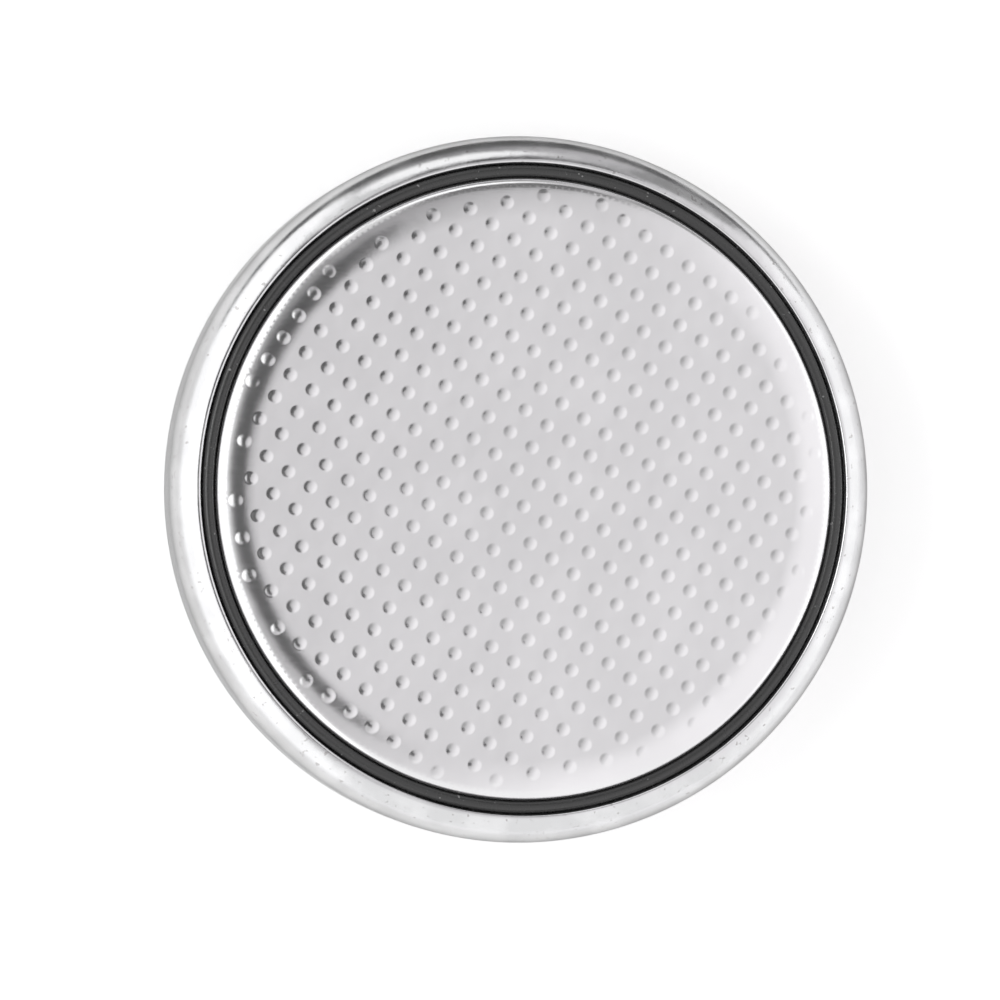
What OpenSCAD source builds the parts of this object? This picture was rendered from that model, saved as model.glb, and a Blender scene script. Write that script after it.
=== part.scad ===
// Lithium coin cell, 20 mm by 3.2 mm, lying on its positive face.
// Millimetres, +Z up out of the negative cap, origin at the centre of the positive face.
// Every round piece is a half section in the plane of radius and height, turned about Z.

/* [Cell] */
// Outside diameter of the can
cell_d = 20; // [16:0.5:30]
// Height from the positive face to the tops of the bumps
cell_h = 3.2; // [2.8:0.1:5]

/* [Positive can] */
// Sheet thickness of the can
can_t = 0.25; // [0.2:0.01:0.3]
// Inside radius of the can's bottom corner
can_corner_r = 0.35; // [0.2:0.05:0.5]
// How far the wall's top is bent inwards, in degrees from upright
crimp_angle = 74; // [64:1:78]
// How far the crimped lip lies below the tops of the bumps
crimp_drop = 0.25; // [0.15:0.01:0.35]
// Radius on the lip's outer edge
lip_edge_r = 0.06; // [0.03:0.01:0.1]

/* [Gasket] */
// Thickness of the gasket between the can's wall and the cap's skirt
gasket_t = 0.4; // [0.3:0.05:0.5]
// Thickness of the gasket under the cap's skirt
gasket_floor_t = 0.4; // [0.3:0.05:0.6]
// Thickness of the gasket's inner wall
gasket_inner_t = 0.3; // [0.2:0.05:0.4]
// Height of the gasket's inner wall above its groove
gasket_inner_h = 0.6; // [0.4:0.05:0.9]
// Width of the gasket where it shows between the lip and the cap
gasket_mouth_w = 0.36; // [0.28:0.01:0.5]
// Clearance between the gasket's upright or curved faces and the metal
seal_gap = 0.01; // [0.005:0.005:0.02]

/* [Negative cap] */
// Sheet thickness of the cap
cap_t = 0.25; // [0.2:0.01:0.3]
// Width of the rounded border from the flat to the neck
crown_w = 1.12; // [0.8:0.02:1.4]
// Radius of the crown's slow curve
crown_r = 3.1; // [2.6:0.1:4]
// Inside radius of the corner between crown and neck
shoulder_r = 0.05; // [0.02:0.01:0.15]
// Radius of the hollow corner where the neck flares out
flare_r = 0.15; // [0.1:0.01:0.2]
// Inside radius where the flare turns down into the skirt
skirt_bend_r = 0.2; // [0.1:0.05:0.3]

/* [Bumps] */
// Spacing of the bumps along the rows of their square lattice
bump_pitch = 0.75; // [0.6:0.01:1.2]
// Diameter of a bump at its foot
bump_d = 0.44; // [0.3:0.01:0.5]
// Height of a bump above the sheet
bump_h = 0.022; // [0.02:0.001:0.06]
// Turn of the rows from the X axis, in degrees
bump_turn = 55.2; // [0:0.1:90]
// Place of the bump nearest the centre, along X
bump_x = 0.31; // [-0.5:0.01:0.5]
// Place of the bump nearest the centre, along Y
bump_y = 0.12; // [-0.5:0.01:0.5]
// Bare margin between the outermost bump centres and the neck
bump_margin = 0.43; // [0.36:0.01:1]
// Width of the border in which the bumps were flattened by the forming
bump_fade_w = 0.35; // [0.1:0.05:1]
// Share of a bump's height that is left at the edge of that border
bump_fade = 0.5; // [0.3:0.05:1]

/* [Electrodes] */
// Thickness of the lithium disc
anode_t = 0.62; // [0.3:0.01:0.8]
// How far the lithium disc stays inside the cap's flat
anode_margin = 0.2; // [0.1:0.05:0.6]
// Thickness of the separator
separator_t = 0.13; // [0.05:0.01:0.2]
// How far the separator reaches past the pellet
separator_margin = 0.4; // [0.2:0.05:0.6]
// Free space between the pellet's ring and the gasket
cathode_clearance = 0.88; // [0.4:0.02:1.2]
// Sheet thickness of the pellet's ring
ring_t = 0.1; // [0.08:0.01:0.15]
// Height of the pellet's ring
ring_h = 1; // [0.6:0.05:1.4]
// Width of the ring's foot under the pellet
ring_foot_w = 1; // [0.5:0.1:2]
// Clearance between the pellet and its ring
ring_gap = 0.01; // [0.005:0.005:0.02]

/* [Hidden] */
$fn = 96;
// Largest turn, in degrees, between neighbouring points of a round stretch
arc_step = 6;
// How deep a bump's root goes into the sheet, and how far the root reaches past the bump's foot
bump_root = 0.08;
bump_root_w = 0.02;

cell_r = cell_d / 2;

// Bends, from the inside out: skirt, gasket, can
skirt_out_r = skirt_bend_r + cap_t;
crimp_in_r = skirt_out_r + gasket_t;
crimp_r = crimp_in_r + can_t;
crimp_c = [cell_r - crimp_r, cell_h - crimp_drop - crimp_r * sin(crimp_angle)];
corner_c = [cell_r - can_t - can_corner_r, can_t + can_corner_r];

// Radii of the cap
mouth_r = crimp_c.x + crimp_in_r * cos(crimp_angle);
neck_r = mouth_r - gasket_mouth_w;
flat_r = neck_r - crown_w;
skirt_r = crimp_c.x + skirt_out_r;

// Heights of the cap
face_z = cell_h - bump_h;
skirt_z = can_t + gasket_floor_t;
inner_top_z = face_z - cap_t;

// Corner between crown and neck: its arc touches the crown's arc and the neck
shoulder_out_r = shoulder_r + cap_t;
crown_c = [flat_r, face_z - crown_r];
shoulder_dx = neck_r - shoulder_out_r - flat_r;
crown_tilt = asin(shoulder_dx / (crown_r - shoulder_out_r));
shoulder_c = crown_c + (crown_r - shoulder_out_r) * [sin(crown_tilt), cos(crown_tilt)];

// Hollow corner of the flare: its arc touches the neck and the slope that rises from the skirt's bend
slope_x = crimp_c.x + skirt_out_r * cos(crimp_angle);
slope_z = crimp_c.y + skirt_out_r * sin(crimp_angle);
flare_x = neck_r + flare_r;
flare_foot_x = flare_x - flare_r * cos(crimp_angle);
flare_c = [
    flare_x,
    slope_z + (slope_x - flare_foot_x) / tan(crimp_angle) + flare_r * sin(crimp_angle)
];

// Lip's rounded edge
lip_turn = asin(lip_edge_r / (crimp_r - lip_edge_r));
lip_c = crimp_c + (crimp_r - lip_edge_r) * unit(crimp_angle - lip_turn);

// Gasket's inner wall and groove
groove_in_r = skirt_r - cap_t - seal_gap;
gasket_in_r = groove_in_r - gasket_inner_t;

// Electrodes, stacked from the can's floor to the cap's inside
cathode_r = gasket_in_r - cathode_clearance - ring_t;
cathode_top_z = inner_top_z - anode_t - separator_t;
anode_r = flat_r - anode_margin;
separator_r = cathode_r + separator_margin;

// Bumps
bump_reach_r = neck_r - bump_margin;
bump_rows = ceil((bump_reach_r + bump_pitch) / bump_pitch);

function unit(a) = [cos(a), sin(a)];

// Points of a round stretch of an outline about c, from one angle to another
function arc(c, r, from, to) =
    let (steps = ceil(abs(to - from) / arc_step))
    [for (i = [0:steps]) c + r * unit(from + (to - from) * i / steps)];

// Tilt and height of the cap's outer face at a distance from the axis, on the flat and the crown
function cap_tilt(r) = r <= flat_r ? 0 : asin((r - flat_r) / crown_r);
function cap_z(r) = r <= flat_r ? face_z : crown_c.y + crown_r * cos(cap_tilt(r));

// Height of a bump at a distance from the axis
function bump_rise(r) =
    let (past = max(0, r - bump_reach_r + bump_fade_w) / bump_fade_w)
    bump_h * (1 - (1 - bump_fade) * past);

// How far the sheet under a bump curves away from flat at the bump's foot
function bump_dip(r) = r <= flat_r ? 0 : pow(bump_d / 2, 2) / (2 * crown_r);

// Centres of all the bumps inside the bare margin
function bump_spots() = [
    for (i = [-bump_rows:bump_rows], j = [-bump_rows:bump_rows])
        let (
            x = bump_x + bump_pitch * (i * cos(bump_turn) - j * sin(bump_turn)),
            y = bump_y + bump_pitch * (i * sin(bump_turn) + j * cos(bump_turn))
        )
        if (norm([x, y]) <= bump_reach_r) [x, y]
];

// Round the outline, from the middle of the floor up the outside, over the lip and back inside
module can_section() {
    polygon(concat(
        [[0, 0]],
        arc(corner_c, can_corner_r + can_t, -90, 0),
        arc(crimp_c, crimp_r, 0, crimp_angle - lip_turn),
        arc(lip_c, lip_edge_r, crimp_angle - lip_turn, crimp_angle + 90),
        arc(crimp_c, crimp_in_r, crimp_angle, 0),
        arc(corner_c, can_corner_r, 0, -90),
        [[0, can_t]]
    ));
}

// Round the outline, from the middle of the face down the outside, round the skirt and back inside
module cap_section() {
    polygon(concat(
        [[0, face_z]],
        arc(crown_c, crown_r, 90, 90 - crown_tilt),
        arc(shoulder_c, shoulder_out_r, 90 - crown_tilt, 0),
        arc(flare_c, flare_r, 180, 180 + crimp_angle),
        arc(crimp_c, skirt_out_r, crimp_angle, 0),
        [[skirt_r, skirt_z], [skirt_r - cap_t, skirt_z]],
        arc(crimp_c, skirt_bend_r, 0, crimp_angle),
        arc(flare_c, flare_r + cap_t, 180 + crimp_angle, 180),
        arc(shoulder_c, shoulder_r, 0, 90 - crown_tilt),
        arc(crown_c, crown_r - cap_t, 90 - crown_tilt, 90),
        [[0, inner_top_z]]
    ));
}

// Round the outline, from the foot of the inner wall past the can, the mouth and the skirt
module gasket_section() {
    wall_arc_r = crimp_in_r - seal_gap;
    lip_side = crimp_c + wall_arc_r * unit(crimp_angle);
    ridge_r = (lip_side.x - neck_r - seal_gap) / 2;
    polygon(concat(
        [[gasket_in_r, can_t]],
        arc(corner_c - [seal_gap, 0], can_corner_r, -90, 0),
        arc(crimp_c, wall_arc_r, 0, crimp_angle),
        arc(lip_side - [ridge_r, 0], ridge_r, 0, 180),
        arc(flare_c, flare_r - seal_gap, 180, 180 + crimp_angle),
        arc(crimp_c, skirt_out_r + seal_gap, crimp_angle, 0),
        [
            [skirt_r + seal_gap, skirt_z],
            [groove_in_r, skirt_z],
            [groove_in_r, skirt_z + gasket_inner_h],
            [gasket_in_r, skirt_z + gasket_inner_h]
        ]
    ));
}

// One bump: the top of a ball, standing rise above the sheet, whose foot lies dip below the tangent plane
module bump(rise, dip) {
    top_h = rise + dip;
    ball_r = (pow(bump_d / 2, 2) + top_h * top_h) / (2 * top_h);
    rotate_extrude()
        intersection() {
            translate([0, rise - ball_r]) circle(ball_r);
            translate([0, -bump_root]) square([bump_d / 2 + bump_root_w, bump_root + rise]);
        }
}

module positive_can() {
    color([0.78, 0.78, 0.79]) rotate_extrude() can_section();
}

module sealing_gasket() {
    color([0.16, 0.16, 0.17]) rotate_extrude() gasket_section();
}

module negative_cap() {
    color([0.82, 0.82, 0.83]) {
        rotate_extrude() cap_section();
        for (p = bump_spots())
            translate([p.x, p.y, cap_z(norm(p))])
                rotate([0, cap_tilt(norm(p)), atan2(p.y, p.x)])
                    bump(bump_rise(norm(p)), bump_dip(norm(p)));
    }
}

module lithium_anode() {
    color([0.72, 0.72, 0.7])
        translate([0, 0, inner_top_z - anode_t]) cylinder(r = anode_r, h = anode_t);
}

module separator() {
    color([0.95, 0.95, 0.93])
        translate([0, 0, cathode_top_z]) cylinder(r = separator_r, h = separator_t);
}

module cathode_pellet() {
    color([0.14, 0.14, 0.14])
        rotate_extrude()
            polygon([
                [0, can_t],
                [cathode_r - ring_foot_w, can_t],
                [cathode_r - ring_foot_w, can_t + ring_t],
                [cathode_r, can_t + ring_t],
                [cathode_r, cathode_top_z],
                [0, cathode_top_z]
            ]);
}

module cathode_ring() {
    wall_x = cathode_r + ring_gap;
    color([0.62, 0.62, 0.63])
        rotate_extrude()
            polygon([
                [cathode_r - ring_foot_w + ring_gap, can_t],
                [wall_x + ring_t, can_t],
                [wall_x + ring_t, can_t + ring_h],
                [wall_x, can_t + ring_h],
                [wall_x, can_t + ring_t],
                [cathode_r - ring_foot_w + ring_gap, can_t + ring_t]
            ]);
}

positive_can();
sealing_gasket();
negative_cap();
lithium_anode();
separator();
cathode_pellet();
cathode_ring();
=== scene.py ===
"""Lithium coin cell on a white table, seen from above as in the photograph.

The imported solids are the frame. The can, the gasket and the cap are drawn again as fine meshes of the
same shape, because polished sheet shows every facet, and each material is procedural.
Lengths are in millimetres until a mesh is made. +X is the photograph's right and +Y its top.
"""

import math

import bpy
from mathutils import Matrix, Vector
from mathutils.geometry import delaunay_2d_cdt


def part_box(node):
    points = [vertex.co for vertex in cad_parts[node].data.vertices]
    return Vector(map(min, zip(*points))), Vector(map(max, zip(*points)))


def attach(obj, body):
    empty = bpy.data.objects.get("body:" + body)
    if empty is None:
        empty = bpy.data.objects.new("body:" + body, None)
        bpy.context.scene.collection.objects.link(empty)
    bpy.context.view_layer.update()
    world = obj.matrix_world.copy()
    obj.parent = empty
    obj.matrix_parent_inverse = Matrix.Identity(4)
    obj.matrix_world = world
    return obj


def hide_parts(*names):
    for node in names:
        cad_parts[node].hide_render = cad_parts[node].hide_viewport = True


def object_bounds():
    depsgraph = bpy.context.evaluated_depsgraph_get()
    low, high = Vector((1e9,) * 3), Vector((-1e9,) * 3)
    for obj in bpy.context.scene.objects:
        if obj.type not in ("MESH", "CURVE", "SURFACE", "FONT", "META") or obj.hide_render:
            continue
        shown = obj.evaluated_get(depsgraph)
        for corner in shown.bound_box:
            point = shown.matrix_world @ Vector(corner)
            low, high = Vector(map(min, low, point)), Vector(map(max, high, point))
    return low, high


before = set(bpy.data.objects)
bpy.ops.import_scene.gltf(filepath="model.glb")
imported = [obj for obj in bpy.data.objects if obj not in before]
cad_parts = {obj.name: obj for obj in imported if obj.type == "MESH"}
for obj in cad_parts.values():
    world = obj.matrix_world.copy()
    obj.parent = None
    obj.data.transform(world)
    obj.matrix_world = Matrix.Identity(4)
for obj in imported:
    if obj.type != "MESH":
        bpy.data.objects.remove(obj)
cad_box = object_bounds()

MM = 0.001

# Overall sizes, from the frame
CAN_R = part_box("positive_can")[1].x / MM
CELL_H = cad_box[1].z / MM

# Sheet and bends, as in the solids
SHEET_T = 0.25
CAN_CORNER_R = 0.35
CRIMP_ANGLE = 74
CRIMP_DROP = 0.25
LIP_EDGE_R = 0.06
GASKET_T = 0.4
GASKET_FLOOR_T = 0.4
GASKET_INNER_T = 0.3
GASKET_INNER_H = 0.6
MOUTH_W = 0.36
SEAL_GAP = 0.01
CROWN_W = 1.12
CROWN_R = 3.1
SHOULDER_R = 0.05
FLARE_R = 0.15
SKIRT_BEND_R = 0.2

# Bumps, as in the solids
BUMP_PITCH = 0.75
BUMP_R = 0.22
BUMP_H = 0.022
BUMP_TURN = math.radians(55.2)
BUMP_AT = Vector((0.31, 0.12))
BUMP_MARGIN = 0.43
BUMP_FADE_W = 0.35
BUMP_FADE = 0.5
# Share of a bump's radius at which its ball gives way to a soft foot
BUMP_FOOT = 0.72

# Fineness of the meshes
ROUND_SEGMENTS = 288
BUMP_SEGMENTS = 24
BUMP_RINGS = 6
CROWN_RING_STEP = 0.08
# Width of the cap's shoulder that is turned and not meshed with the bumps
TOP_EDGE_W = 0.18
# Bump radii that the crown's rings stay away from a bump's centre
BUMP_CLEAR = 1.08
# Heights of the rings that divide the can's wall, and how far the floor's ring lies inside its corner
WALL_RINGS_Z = (0.9, 1.25, 1.6)
FLOOR_RING_W = 1
# Distances under which a point lies on the axis, and under which two points are one
ON_AXIS = 1e-9
MERGE_DISTANCE = 1e-7

# Camera, fitted to the silhouette, the dark ring and the rows of bumps in the photograph
PHOTO_PX = 1000
PX_PER_MM = 35.19
CELL_CENTRE_PX = (517.1, 489.5)
CAMERA_TILT = math.radians(8.7)
CAMERA_AZIMUTH = math.radians(184)
CAMERA_DISTANCE = 160
SENSOR_MM = 36
CLIP_START = 10
CLIP_END = 10000

# Distances from the can's wall where painted shade begins on its rolled lip and where it is full: a darker
# tone standing in for the shaded table that the wall reflects
SHADE_FROM_W = 0.34
SHADE_FULL_W = 0.14

# Table. It is white in a square that fills the picture, and past a second, wider one it is pale grey
TABLE_HALF = 600
WHITE_AT = Vector((-0.5, -0.3))
WHITE_HALF = 14.7
PALE_HALF = 16.5
PALE_TONE = 0.9
# Its own tone, and the glow that lifts it to white for the camera and in reflections
TABLE_TONE = 0.85
TABLE_LIFT = 0.34

# Dark curved card over the left of the cell
HOOD_Z = 33
HOOD_IN_R = 10.4
HOOD_OUT_R = 20
HOOD_SHIFT = 2
HOOD_START = 105
HOOD_END = 252
HOOD_STEPS = 28
HOOD_TONE = 0.09

# Dark card low over the table behind the cell, which grows wider away from it
CARD_Z = 0.5
CARD_FROM_Y = 13
CARD_TO_Y = 500
CARD_SPREAD = 1.6
CARD_TONE = 0.12

# Studio. Places are sines of the angles from straight up, towards +X and +Y. A tone of 1 is white
# Ceiling: brighter to the right and the front, dim at the back left
CEILING_SLOPE = (0.8, -0.35, 0)
CEILING_MIDDLE = 0.62
CEILING_DIMMEST = 0.3
CEILING_BRIGHTEST = 0.97
CEILING_TINT = (1, 0.985, 1, 1)
# Walls: where each begins, where it is full, and its tone
FRONT_WALL = (-0.5, -0.75, 0.98)
RIGHT_WALL = (0.68, 0.86, 1.22)
LEFT_WALL = (-0.36, -0.44, 1.3)
# Oval patches, each over the ones before: place along X and Y, half width, half depth, tone
SKY_PATCHES = (
    (-0.12, 0.23, 0.15, 0.17, 0.42),  # grey, to the left of the ceiling's middle
    (-0.25, 0.7, 0.14, 0.17, 0.78),  # pale, behind it
    (0.14, 0.68, 0.25, 0.12, 0.13),  # dark, at the back
    (0.62, 0.79, 0.25, 0.12, 0.33),  # dim, at the back right
    (-0.08, 0.88, 0.28, 0.09, 1.22),  # lit panel low at the back
    (-0.75, 0.12, 0.08, 0.38, 4),  # lamp on the left wall
)
# Shares of a patch's half size where its soft edge ends and begins, and the height where it meets the table
PATCH_OUTER = 1.2
PATCH_INNER = 0.8
HORIZON = 0.02


# Points and profiles

def unit(degrees):
    a = math.radians(degrees)
    return Vector((math.cos(a), math.sin(a)))


def arc(centre, radius, start, stop, step=5):
    """Points of a round stretch of a profile, angles in degrees."""
    steps = max(1, math.ceil(abs(stop - start) / step))
    return [centre + radius * unit(start + (stop - start) * i / steps) for i in range(steps + 1)]


def ring(r, shift=0.0):
    """Points of a circle about the axis, turned by a share of a segment."""
    angles = (2 * math.pi * (k + shift) / ROUND_SEGMENTS for k in range(ROUND_SEGMENTS))
    return [Vector((r * math.cos(a), r * math.sin(a))) for a in angles]


skirt_out_r = SKIRT_BEND_R + SHEET_T
crimp_in_r = skirt_out_r + GASKET_T
crimp_r = crimp_in_r + SHEET_T
crimp_c = Vector((CAN_R - crimp_r, CELL_H - CRIMP_DROP - crimp_r * math.sin(math.radians(CRIMP_ANGLE))))
corner_c = Vector((CAN_R - SHEET_T - CAN_CORNER_R, SHEET_T + CAN_CORNER_R))
mouth_r = crimp_c.x + crimp_in_r * math.cos(math.radians(CRIMP_ANGLE))
neck_r = mouth_r - MOUTH_W
flat_r = neck_r - CROWN_W
skirt_r = crimp_c.x + skirt_out_r
face_z = CELL_H - BUMP_H
skirt_z = SHEET_T + GASKET_FLOOR_T
inner_top_z = face_z - SHEET_T

shoulder_out_r = SHOULDER_R + SHEET_T
crown_c = Vector((flat_r, face_z - CROWN_R))
crown_tilt = math.degrees(math.asin((neck_r - shoulder_out_r - flat_r) / (CROWN_R - shoulder_out_r)))
crown_end_r = crown_c.x + CROWN_R * math.sin(math.radians(crown_tilt))
shoulder_c = crown_c + (CROWN_R - shoulder_out_r) * unit(90 - crown_tilt)

slope_at = crimp_c + skirt_out_r * unit(CRIMP_ANGLE)
flare_x = neck_r + FLARE_R
flare_foot_x = flare_x - FLARE_R * math.cos(math.radians(CRIMP_ANGLE))
flare_c = Vector((
    flare_x,
    slope_at.y + (slope_at.x - flare_foot_x) / math.tan(math.radians(CRIMP_ANGLE))
    + FLARE_R * math.sin(math.radians(CRIMP_ANGLE)),
))

# Where the bumped top of the cap's mesh gives way to its turned shoulder
top_edge_r = neck_r - TOP_EDGE_W
top_edge_tilt = math.degrees(math.asin((top_edge_r - shoulder_c.x) / shoulder_out_r))

bump_reach_r = neck_r - BUMP_MARGIN
bump_ways = [unit(360 * k / BUMP_SEGMENTS) for k in range(BUMP_SEGMENTS)]


def can_profile():
    lip_turn = math.degrees(math.asin(LIP_EDGE_R / (crimp_r - LIP_EDGE_R)))
    lip_c = crimp_c + (crimp_r - LIP_EDGE_R) * unit(CRIMP_ANGLE - lip_turn)
    return (
        [Vector((0, 0)), Vector((corner_c.x - FLOOR_RING_W, 0))]
        + arc(corner_c, CAN_CORNER_R + SHEET_T, -90, 0)
        + [Vector((CAN_R, z)) for z in WALL_RINGS_Z]
        + arc(crimp_c, crimp_r, 0, CRIMP_ANGLE - lip_turn, step=3)
        + arc(lip_c, LIP_EDGE_R, CRIMP_ANGLE - lip_turn, CRIMP_ANGLE + 90, step=15)
        + arc(crimp_c, crimp_in_r, CRIMP_ANGLE, 0)
        + arc(corner_c, CAN_CORNER_R, 0, -90, step=10)
        + [Vector((0, SHEET_T))]
    )


def gasket_profile():
    wall_arc_r = crimp_in_r - SEAL_GAP
    lip_side = crimp_c + wall_arc_r * unit(CRIMP_ANGLE)
    ridge_r = (lip_side.x - neck_r - SEAL_GAP) / 2
    groove_in_r = skirt_r - SHEET_T - SEAL_GAP
    inner_r = groove_in_r - GASKET_INNER_T
    return (
        [Vector((inner_r, SHEET_T))]
        + arc(corner_c - Vector((SEAL_GAP, 0)), CAN_CORNER_R, -90, 0, step=10)
        + arc(crimp_c, wall_arc_r, 0, CRIMP_ANGLE)
        + arc(lip_side - Vector((ridge_r, 0)), ridge_r, 0, 180)
        + arc(flare_c, FLARE_R - SEAL_GAP, 180, 180 + CRIMP_ANGLE, step=10)
        + arc(crimp_c, skirt_out_r + SEAL_GAP, CRIMP_ANGLE, 0, step=10)
        + [
            Vector((skirt_r + SEAL_GAP, skirt_z)),
            Vector((groove_in_r, skirt_z)),
            Vector((groove_in_r, skirt_z + GASKET_INNER_H)),
            Vector((inner_r, skirt_z + GASKET_INNER_H)),
        ]
    )


def cap_profile():
    """The cap's section from the edge of its bumped top round the skirt to the middle of its inside."""
    return (
        arc(shoulder_c, shoulder_out_r, 90 - top_edge_tilt, 0, step=4)
        + arc(flare_c, FLARE_R, 180, 180 + CRIMP_ANGLE, step=10)
        + arc(crimp_c, skirt_out_r, CRIMP_ANGLE, 0, step=10)
        + [Vector((skirt_r, skirt_z)), Vector((skirt_r - SHEET_T, skirt_z))]
        + arc(crimp_c, SKIRT_BEND_R, 0, CRIMP_ANGLE, step=10)
        + arc(flare_c, FLARE_R + SHEET_T, 180 + CRIMP_ANGLE, 180, step=10)
        + arc(shoulder_c, SHOULDER_R, 0, 90 - crown_tilt, step=15)
        + arc(crown_c, CROWN_R - SHEET_T, 90 - crown_tilt, 90)
        + [Vector((0, inner_top_z))]
    )


# Meshes

def turn(profile, closed):
    """Vertices and faces of a profile turned about Z. Points on the axis become single vertices."""
    verts, faces, rings = [], [], []
    for p in profile:
        if p.x < ON_AXIS:
            rings.append([len(verts)])
            verts.append(Vector((0, 0, p.y)))
        else:
            rings.append(range(len(verts), len(verts) + ROUND_SEGMENTS))
            verts += [Vector((q.x, q.y, p.y)) for q in ring(p.x)]
    pairs = list(zip(rings, rings[1:]))
    if closed:
        pairs.append((rings[-1], rings[0]))
    for low, high in pairs:
        for k in range(ROUND_SEGMENTS):
            n = (k + 1) % ROUND_SEGMENTS
            if len(low) == 1:
                faces.append((low[0], high[n], high[k]))
            elif len(high) == 1:
                faces.append((low[k], low[n], high[0]))
            else:
                faces.append((low[k], low[n], high[n], high[k]))
    return verts, faces


def bump_centres():
    rows = math.ceil(bump_reach_r / BUMP_PITCH) + 1
    along = BUMP_PITCH * Vector((math.cos(BUMP_TURN), math.sin(BUMP_TURN)))
    across = Vector((-along.y, along.x))
    spots = (
        BUMP_AT + i * along + j * across
        for i in range(-rows, rows + 1)
        for j in range(-rows, rows + 1)
    )
    return [p for p in spots if p.length <= bump_reach_r]


def bump_steepness(share):
    """Slope of a bump at a share of its radius, as a share of the steepest: a ball with a soft foot."""
    if share < BUMP_FOOT:
        return share / BUMP_FOOT
    return (1 + math.cos(math.pi * (share - BUMP_FOOT) / (1 - BUMP_FOOT))) / 2


def bump_height(share):
    """Height of a bump at a share of its radius, as a share of its height."""
    if share < BUMP_FOOT:
        return 1 - share ** 2 / BUMP_FOOT
    rest = 1 - BUMP_FOOT
    return 1 - share + rest / math.pi * math.sin(math.pi * (1 - share) / rest)


def bump_rise(r):
    """Height of the bump whose centre lies at a distance from the axis."""
    past = max(0, r - bump_reach_r + BUMP_FADE_W) / BUMP_FADE_W
    return BUMP_H * (1 - (1 - BUMP_FADE) * past)


def sheet_z(r):
    """Height of the cap's smooth outer face."""
    if r <= flat_r:
        return face_z
    if r <= crown_end_r:
        return crown_c.y + math.sqrt(CROWN_R ** 2 - (r - crown_c.x) ** 2)
    return shoulder_c.y + math.sqrt(shoulder_out_r ** 2 - (r - shoulder_c.x) ** 2)


def sheet_slope(r):
    """Steepness of the cap's smooth outer face, falling outwards."""
    if r <= flat_r:
        return 0.0
    if r <= crown_end_r:
        return (r - crown_c.x) / math.sqrt(CROWN_R ** 2 - (r - crown_c.x) ** 2)
    return (r - shoulder_c.x) / math.sqrt(shoulder_out_r ** 2 - (r - shoulder_c.x) ** 2)


def top_outline(centres):
    """Points of the cap's top: its edge, rings on the crown and the bumps' rims. The rims also as indices."""
    points = ring(top_edge_r)
    ring_r = flat_r
    while ring_r < top_edge_r - CROWN_RING_STEP / 2:
        for p in ring(ring_r, 0.5):
            if all((p - c).length > BUMP_R * BUMP_CLEAR for c in centres if abs(p.x - c.x) < BUMP_PITCH):
                points.append(p)
        ring_r += CROWN_RING_STEP
    rims = []
    for c in centres:
        rims.append(range(len(points), len(points) + BUMP_SEGMENTS))
        points += [c + BUMP_R * way for way in bump_ways]
    return points, rims


def cap_top():
    """The bumped top: rings on each bump, and triangles between the bumps. Normals are the true surface's."""
    centres = bump_centres()
    outline, rims = top_outline(centres)
    points, _, triangles, *_ = delaunay_2d_cdt(outline, [], [], 0, MERGE_DISTANCE, False)
    assert len(points) == len(outline)
    owner = {v: i for i, rim in enumerate(rims) for v in rim}
    faces = []
    for triangle in triangles:
        owners = {owner.get(v) for v in triangle}
        if owners == {None} or len(owners) > 1:
            faces.append(tuple(triangle))

    heights = [0.0] * len(points)
    slopes = [Vector((0, 0))] * len(points)
    for c, outer in zip(centres, rims):
        rise = bump_rise(c.length)
        for step in range(BUMP_RINGS - 1, 0, -1):
            share = step / BUMP_RINGS
            inner = range(len(points), len(points) + BUMP_SEGMENTS)
            points += [c + share * BUMP_R * way for way in bump_ways]
            heights += [rise * bump_height(share)] * BUMP_SEGMENTS
            steep = 2 * rise / BUMP_R * bump_steepness(share)
            slopes += [steep * way for way in bump_ways]
            for k in range(BUMP_SEGMENTS):
                n = (k + 1) % BUMP_SEGMENTS
                faces.append((outer[k], outer[n], inner[n], inner[k]))
            outer = inner
        faces += [(outer[k], outer[(k + 1) % BUMP_SEGMENTS], len(points)) for k in range(BUMP_SEGMENTS)]
        points.append(c)
        heights.append(rise)
        slopes.append(Vector((0, 0)))

    verts = [Vector((p.x, p.y, sheet_z(p.length) + h)) for p, h in zip(points, heights)]
    normals = []
    for p, slope in zip(points, slopes):
        fall = slope + sheet_slope(p.length) * p.normalized()
        normals.append(Vector((fall.x, fall.y, 1)).normalized())
    return verts, faces, normals


def cap_mesh():
    """The bumped top joined to the turned rest of the cap. Both begin with the ring of the top's edge."""
    top_verts, top_faces, top_normals = cap_top()
    rest_verts, rest_faces = turn(cap_profile(), closed=False)
    shift = len(top_verts) - ROUND_SEGMENTS

    def place(v):
        return v if v < ROUND_SEGMENTS else v + shift

    verts = top_verts + rest_verts[ROUND_SEGMENTS:]
    faces = top_faces + [tuple(place(v) for v in reversed(f)) for f in rest_faces]
    return verts, faces, top_normals


def new_object(name, data):
    obj = bpy.data.objects.new(name, data)
    bpy.context.collection.objects.link(obj)
    return obj


def add_mesh(name, verts, faces, normals=(), crease=40):
    """A smooth mesh. Where normals are given for its first vertices, they replace the averaged ones."""
    mesh = bpy.data.meshes.new(name)
    mesh.from_pydata([v * MM for v in verts], [], faces)
    mesh.validate()
    mesh.shade_smooth()
    mesh.set_sharp_from_angle(angle=math.radians(crease))
    if normals:
        averaged = [c.vector.copy() for c in mesh.corner_normals]
        corners = [
            normals[loop.vertex_index] if loop.vertex_index < len(normals) else averaged[loop.index]
            for loop in mesh.loops
        ]
        mesh.normals_split_custom_set(corners)
    return new_object(name, mesh)


def add_level(name, points, z, faces):
    """A level sheet of the stage, from points in the plane and a height."""
    mesh = bpy.data.meshes.new(name)
    mesh.from_pydata([(p.x * MM, p.y * MM, z * MM) for p in points], [], faces)
    return new_object(name, mesh)


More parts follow.
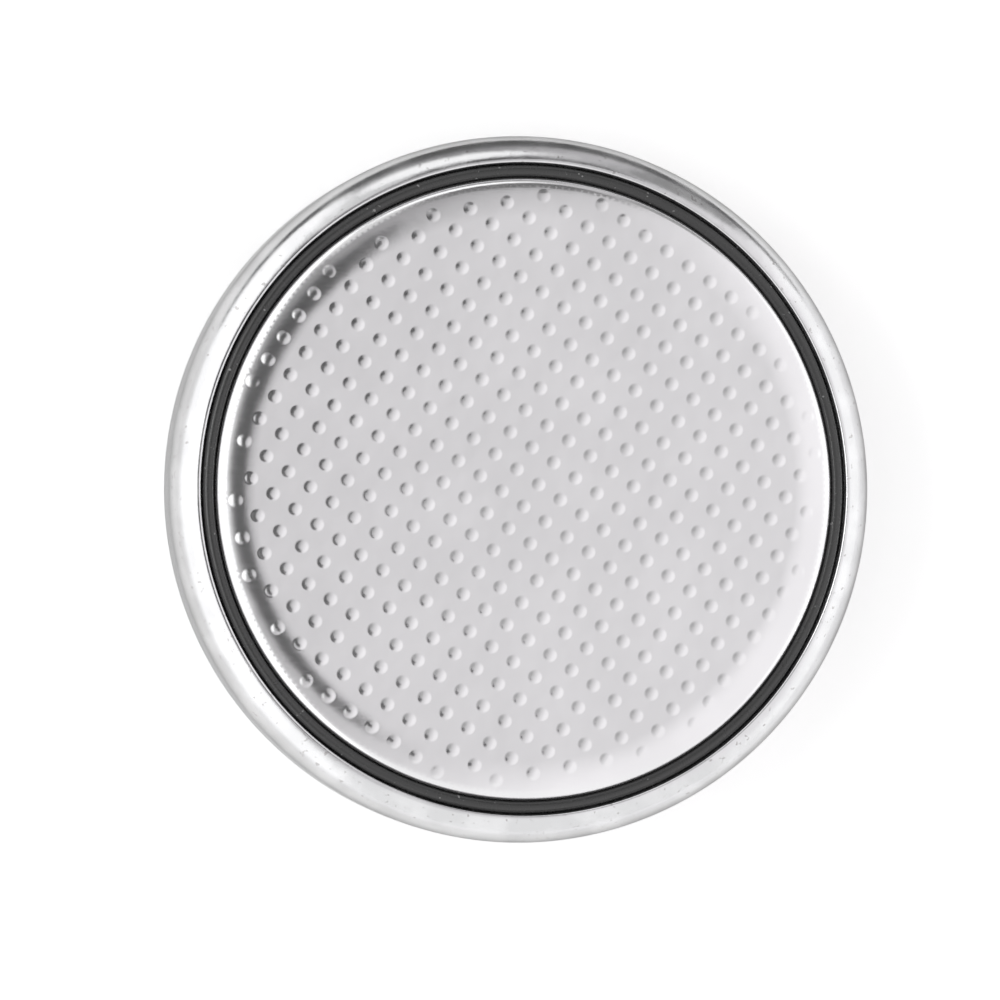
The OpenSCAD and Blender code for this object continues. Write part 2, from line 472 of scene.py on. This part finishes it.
# Materials

class Nodes:
    """Short names for making and joining shader nodes."""

    def __init__(self, tree):
        self.tree = tree
        tree.nodes.clear()

    def add(self, kind, **settings):
        node = self.tree.nodes.new(kind)
        for key, value in settings.items():
            setattr(node, key, value)
        return node

    def feed(self, socket, value):
        if isinstance(value, bpy.types.NodeSocket):
            self.tree.links.new(value, socket)
        elif value is not None:
            socket.default_value = value

    def show(self, shader, output="ShaderNodeOutputMaterial"):
        self.feed(self.add(output).inputs["Surface"], shader.outputs[0])

    def math(self, operation, a, b=None):
        node = self.add("ShaderNodeMath", operation=operation)
        self.feed(node.inputs[0], a)
        self.feed(node.inputs[1], b)
        return node.outputs[0]

    def length(self, x, y):
        return self.math("SQRT", self.math("ADD", self.math("MULTIPLY", x, x), self.math("MULTIPLY", y, y)))

    def split(self, vector):
        node = self.add("ShaderNodeSeparateXYZ")
        self.feed(node.inputs[0], vector)
        return node.outputs

    def dot(self, a, b):
        node = self.add("ShaderNodeVectorMath", operation="DOT_PRODUCT")
        self.feed(node.inputs[0], a)
        self.feed(node.inputs[1], b)
        return node.outputs["Value"]

    def ramp(self, value, low, high, to_low=0.0, to_high=1.0):
        node = self.add("ShaderNodeMapRange", interpolation_type="SMOOTHSTEP")
        for socket, v in zip(node.inputs, (value, low, high, to_low, to_high)):
            self.feed(socket, v)
        return node.outputs[0]

    def mix(self, factor, a, b):
        node = self.add("ShaderNodeMix", data_type="RGBA")
        self.feed(node.inputs["Factor"], factor)
        self.feed(node.inputs[6], a)
        self.feed(node.inputs[7], b)
        return node.outputs[2]

    def noise(self, vector, scale, detail=2.0, roughness=0.5):
        node = self.add("ShaderNodeTexNoise")
        self.feed(node.inputs["Vector"], vector)
        self.feed(node.inputs["Scale"], scale)
        self.feed(node.inputs["Detail"], detail)
        self.feed(node.inputs["Roughness"], roughness)
        return node.outputs["Fac"]

    def stretched(self, vector, scale, turn=0.0):
        node = self.add("ShaderNodeMapping")
        self.feed(node.inputs["Vector"], vector)
        self.feed(node.inputs["Scale"], scale)
        self.feed(node.inputs["Rotation"], (0, 0, turn))
        return node.outputs["Vector"]

    def bump(self, height, distance, strength, normal=None):
        node = self.add("ShaderNodeBump")
        self.feed(node.inputs["Height"], height)
        self.feed(node.inputs["Distance"], distance)
        self.feed(node.inputs["Strength"], strength)
        self.feed(node.inputs["Normal"], normal)
        return node.outputs["Normal"]


def grey(v):
    return (v, v, v, 1)


def new_material(name):
    material = bpy.data.materials.new(name)
    material.use_nodes = True
    return material, Nodes(material.node_tree)


def surface(name, **sockets):
    """A material with one Principled shader whose plain sockets are set here."""
    material, nodes = new_material(name)
    shader = nodes.add("ShaderNodeBsdfPrincipled")
    for key, value in sockets.items():
        nodes.feed(shader.inputs[key.replace("_", " ")], value)
    nodes.show(shader)
    return material, nodes, shader


def place_on_object(nodes):
    return nodes.add("ShaderNodeTexCoord").outputs["Object"]


def steel_can():
    """Polished sheet whose crimp and wall carry handling marks, pits and a slight orange peel, and painted
    shade that darkens the outer crimp and wall.
    """
    material, nodes, shader = surface("can_steel", Metallic=1.0, Specular_Tint=grey(0.5))
    at = place_on_object(nodes)
    cloud = nodes.noise(at, scale=900, detail=3)
    pits = nodes.noise(at, scale=5200)
    fine = nodes.noise(nodes.stretched(at, (1, 1, 6)), scale=14000)
    patchy = nodes.ramp(cloud, 0.35, 0.7)
    tone = nodes.mix(patchy, (0.74, 0.74, 0.75, 1), (0.84, 0.84, 0.85, 1))
    x, y, _ = nodes.split(at)
    # Painted shade: the outer crimp and wall get a darker tone that stands in for the shaded table they
    # reflect
    side = nodes.ramp(nodes.length(x, y), (CAN_R - SHADE_FROM_W) * MM, (CAN_R - SHADE_FULL_W) * MM)
    tone = nodes.mix(side, tone, nodes.mix(patchy, grey(0.6), grey(0.7)))
    tone = nodes.mix(nodes.ramp(pits, 0.64, 0.74), tone, (0.56, 0.55, 0.55, 1))
    nodes.feed(shader.inputs["Base Color"], tone)
    nodes.feed(shader.inputs["Roughness"], nodes.ramp(cloud, 0.3, 0.75, to_low=0.14, to_high=0.26))
    peel = nodes.bump(nodes.noise(at, scale=2600), distance=0.00002, strength=0.22)
    nodes.feed(shader.inputs["Normal"], nodes.bump(fine, distance=0.000004, strength=0.25, normal=peel))
    return material


def steel_cap():
    """Semi-bright rolled sheet with a faint grain along the rows of bumps."""
    material, nodes, shader = surface("cap_steel", Metallic=1.0)
    at = place_on_object(nodes)
    grain = nodes.noise(nodes.stretched(at, (1, 14, 1), BUMP_TURN), scale=2200, detail=3)
    cloud = nodes.noise(at, scale=420)
    fine = nodes.noise(at, scale=16000)
    tone = nodes.mix(nodes.ramp(cloud, 0.3, 0.7), (0.87, 0.865, 0.875, 1), (0.91, 0.905, 0.915, 1))
    nodes.feed(shader.inputs["Base Color"], tone)
    nodes.feed(shader.inputs["Roughness"], nodes.ramp(grain, 0.25, 0.75, to_low=0.16, to_high=0.21))
    wavy = nodes.bump(nodes.noise(at, scale=1500, detail=1), distance=0.000012, strength=0.5)
    rolled = nodes.bump(grain, distance=0.000003, strength=0.25, normal=wavy)
    nodes.feed(shader.inputs["Normal"], nodes.bump(fine, distance=0.000002, strength=0.2, normal=rolled))
    return material


def gasket_plastic():
    """Black moulded plastic with fine moulding texture and a little dust."""
    material, nodes, shader = surface("gasket_plastic", IOR=1.55)
    at = place_on_object(nodes)
    skin = nodes.noise(at, scale=3200, detail=3)
    dust = nodes.ramp(nodes.noise(at, scale=6500, detail=1), 0.73, 0.78)
    nodes.feed(shader.inputs["Base Color"], nodes.mix(dust, grey(0.04), grey(0.22)))
    nodes.feed(shader.inputs["Roughness"], nodes.ramp(skin, 0.3, 0.7, to_low=0.2, to_high=0.32))
    nodes.feed(shader.inputs["Normal"], nodes.bump(skin, distance=0.00001, strength=0.3))
    return material


def powder_black():
    """Matt pressed powder."""
    material, nodes, shader = surface("cathode_mix")
    grains = nodes.noise(place_on_object(nodes), scale=5200, detail=4, roughness=0.7)
    nodes.feed(shader.inputs["Base Color"], nodes.mix(grains, grey(0.018), grey(0.06)))
    nodes.feed(shader.inputs["Roughness"], nodes.ramp(grains, 0.2, 0.8, to_low=0.75, to_high=0.95))
    nodes.feed(shader.inputs["Normal"], nodes.bump(grains, distance=0.00002, strength=0.6))
    return material


def lithium():
    """Dull soft foil with rolling marks."""
    material, nodes, shader = surface("lithium_foil", Metallic=1.0)
    at = place_on_object(nodes)
    film = nodes.noise(at, scale=380, detail=4, roughness=0.6)
    rolled = nodes.noise(nodes.stretched(at, (1, 20, 1)), scale=900)
    nodes.feed(shader.inputs["Base Color"], nodes.mix(film, (0.5, 0.5, 0.47, 1), (0.74, 0.73, 0.7, 1)))
    nodes.feed(shader.inputs["Roughness"], nodes.ramp(film, 0.3, 0.7, to_low=0.4, to_high=0.6))
    nodes.feed(shader.inputs["Normal"], nodes.bump(rolled, distance=0.00001, strength=0.4))
    return material


def felt():
    """White fibres that lie in two directions."""
    material, nodes, shader = surface("separator_felt", Sheen_Weight=0.2)
    at = place_on_object(nodes)
    one_way = nodes.noise(nodes.stretched(at, (1, 22, 1), turn=0.5), scale=1500)
    other_way = nodes.noise(nodes.stretched(at, (22, 1, 1), turn=0.2), scale=1500)
    fibres = nodes.math("MAXIMUM", one_way, other_way)
    nodes.feed(shader.inputs["Base Color"], nodes.mix(fibres, grey(0.7), grey(0.9)))
    nodes.feed(shader.inputs["Roughness"], nodes.ramp(fibres, 0.3, 0.8, to_low=0.95, to_high=0.8))
    nodes.feed(shader.inputs["Normal"], nodes.bump(fibres, distance=0.00003, strength=0.6))
    return material


def steel_ring():
    """Plain drawn sheet with lines round it."""
    material, nodes, shader = surface("ring_steel", Metallic=1.0)
    lines = nodes.noise(nodes.stretched(place_on_object(nodes), (1, 1, 12)), scale=2500)
    nodes.feed(shader.inputs["Base Color"], nodes.mix(lines, grey(0.52), grey(0.66)))
    nodes.feed(shader.inputs["Roughness"], nodes.ramp(lines, 0.3, 0.7, to_low=0.25, to_high=0.38))
    nodes.feed(shader.inputs["Normal"], nodes.bump(lines, distance=0.000004, strength=0.3))
    return material


def wear(obj, material):
    obj.data.materials.clear()
    obj.data.materials.append(material)


# Pieces

def add_piece(name, node, shape, material):
    piece = add_mesh(name, *shape)
    wear(piece, material)
    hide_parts(node)
    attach(piece, "root")


add_piece("can_shell", "positive_can", turn(can_profile(), closed=False), steel_can())
add_piece(
    "gasket_ring", "sealing_gasket", turn(gasket_profile(), closed=True), gasket_plastic()
)
add_piece("cap_shell", "negative_cap", cap_mesh(), steel_cap())
for node, make in (
    ("cathode_pellet", powder_black),
    ("lithium_anode", lithium),
    ("separator", felt),
    ("cathode_ring", steel_ring),
):
    wear(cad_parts[node], make())


# Table: white for the camera and in reflections, with the object's soft shadow on it

def make_table():
    corners = [TABLE_HALF * Vector(c) for c in ((-1, -1), (1, -1), (1, 1), (-1, 1))]
    table = add_level("table", corners, 0, [(0, 1, 2, 3)])
    material, nodes = new_material("table_white")
    x, y, _ = nodes.split(place_on_object(nodes))
    x = nodes.math("ABSOLUTE", nodes.math("SUBTRACT", x, WHITE_AT.x * MM))
    y = nodes.math("ABSOLUTE", nodes.math("SUBTRACT", y, WHITE_AT.y * MM))
    away = nodes.ramp(nodes.math("MAXIMUM", x, y), WHITE_HALF * MM, PALE_HALF * MM)
    white = nodes.mix(away, grey(1), grey(PALE_TONE))
    plain = nodes.add("ShaderNodeBsdfDiffuse")
    nodes.feed(plain.inputs["Color"], nodes.mix(TABLE_TONE, grey(0), white))
    glow = nodes.add("ShaderNodeEmission")
    nodes.feed(glow.inputs["Color"], white)
    nodes.feed(glow.inputs["Strength"], TABLE_LIFT)
    both = nodes.add("ShaderNodeAddShader")
    nodes.feed(both.inputs[0], plain.outputs[0])
    nodes.feed(both.inputs[1], glow.outputs[0])
    path = nodes.add("ShaderNodeLightPath")
    seen = nodes.math("MAXIMUM", path.outputs["Is Camera Ray"], path.outputs["Is Glossy Ray"])
    seen = nodes.math("MAXIMUM", seen, path.outputs["Is Transmission Ray"])
    pick = nodes.add("ShaderNodeMixShader")
    nodes.feed(pick.inputs[0], seen)
    nodes.feed(pick.inputs[1], plain.outputs[0])
    nodes.feed(pick.inputs[2], both.outputs[0])
    nodes.show(pick)
    wear(table, material)


make_table()


# Studio: a room with pale walls, and two dark cards that only reflections show

def studio():
    world = bpy.data.worlds.new("studio")
    bpy.context.scene.world = world
    world.use_nodes = True
    nodes = Nodes(world.node_tree)
    towards = nodes.add("ShaderNodeTexCoord").outputs["Generated"]
    east, north, height = nodes.split(towards)

    def patch(to_east, to_north, half_width, half_depth):
        """1 inside a soft-edged oval of the sky, 0 outside it."""
        x = nodes.math("DIVIDE", nodes.math("SUBTRACT", east, to_east), half_width)
        y = nodes.math("DIVIDE", nodes.math("SUBTRACT", north, to_north), half_depth)
        inside = nodes.ramp(nodes.length(x, y), PATCH_OUTER, PATCH_INNER)
        return nodes.math("MULTIPLY", inside, nodes.ramp(height, 0, HORIZON))

    slope = nodes.math("ADD", nodes.dot(towards, CEILING_SLOPE), CEILING_MIDDLE)
    slope = nodes.math("MINIMUM", nodes.math("MAXIMUM", slope, CEILING_DIMMEST), CEILING_BRIGHTEST)
    sky = nodes.mix(slope, grey(0), CEILING_TINT)
    for along, (begins, full, tone) in ((north, FRONT_WALL), (east, RIGHT_WALL), (east, LEFT_WALL)):
        sky = nodes.mix(nodes.ramp(along, begins, full), sky, grey(tone))
    for *oval, tone in SKY_PATCHES:
        sky = nodes.mix(patch(*oval), sky, grey(tone))

    background = nodes.add("ShaderNodeBackground")
    nodes.feed(background.inputs["Color"], sky)
    nodes.show(background, "ShaderNodeOutputWorld")


studio()


def add_card(name, points, z, faces, tone, shades):
    """A matt grey card that the camera doesn't see. It may let through the light that falls on the table."""
    card = add_level(name, points, z, faces)
    material, *_ = surface(name + "_grey", Roughness=1.0, Base_Color=grey(tone))
    wear(card, material)
    card.visible_camera = False
    card.visible_diffuse = shades
    card.visible_shadow = shades


def make_hood():
    ways = [unit(HOOD_START + (HOOD_END - HOOD_START) * i / HOOD_STEPS) for i in range(HOOD_STEPS + 1)]
    inner = [HOOD_IN_R * way for way in ways]
    outer = [Vector((0, HOOD_SHIFT)) + HOOD_OUT_R * way for way in ways]
    n = len(inner)
    faces = [(i, i + 1, n + i + 1, n + i) for i in range(HOOD_STEPS)]
    add_card("hood", inner + outer, HOOD_Z, faces, HOOD_TONE, shades=True)


def make_back_card():
    corners = ((-1, CARD_FROM_Y), (1, CARD_FROM_Y), (1, CARD_TO_Y), (-1, CARD_TO_Y))
    points = [Vector((side * y * CARD_SPREAD, y)) for side, y in corners]
    add_card("back_card", points, CARD_Z, [(0, 1, 2, 3)], CARD_TONE, shades=False)


make_hood()
make_back_card()


# Camera

def make_camera():
    away = Vector((
        math.sin(CAMERA_TILT) * math.cos(CAMERA_AZIMUTH),
        math.sin(CAMERA_TILT) * math.sin(CAMERA_AZIMUTH),
        math.cos(CAMERA_TILT),
    ))
    right = Vector((0, 1, 0)).cross(away).normalized()
    up = away.cross(right)
    off_x = (CELL_CENTRE_PX[0] - PHOTO_PX / 2) / PX_PER_MM
    off_y = (PHOTO_PX / 2 - CELL_CENTRE_PX[1]) / PX_PER_MM
    wall_middle = (corner_c.y + crimp_c.y) / 2
    aim = Vector((0, 0, wall_middle)) - off_x * right - off_y * up
    data = bpy.data.cameras.new("camera")
    data.sensor_width = SENSOR_MM
    data.lens = SENSOR_MM * CAMERA_DISTANCE * PX_PER_MM / PHOTO_PX
    data.clip_start = CLIP_START * MM
    data.clip_end = CLIP_END * MM
    camera = new_object("camera", data)
    turned = Matrix((right, up, away)).transposed().to_4x4()
    camera.matrix_world = Matrix.Translation((aim + CAMERA_DISTANCE * away) * MM) @ turned
    bpy.context.scene.camera = camera


make_camera()

bpy.context.scene.view_settings.view_transform = "Standard"
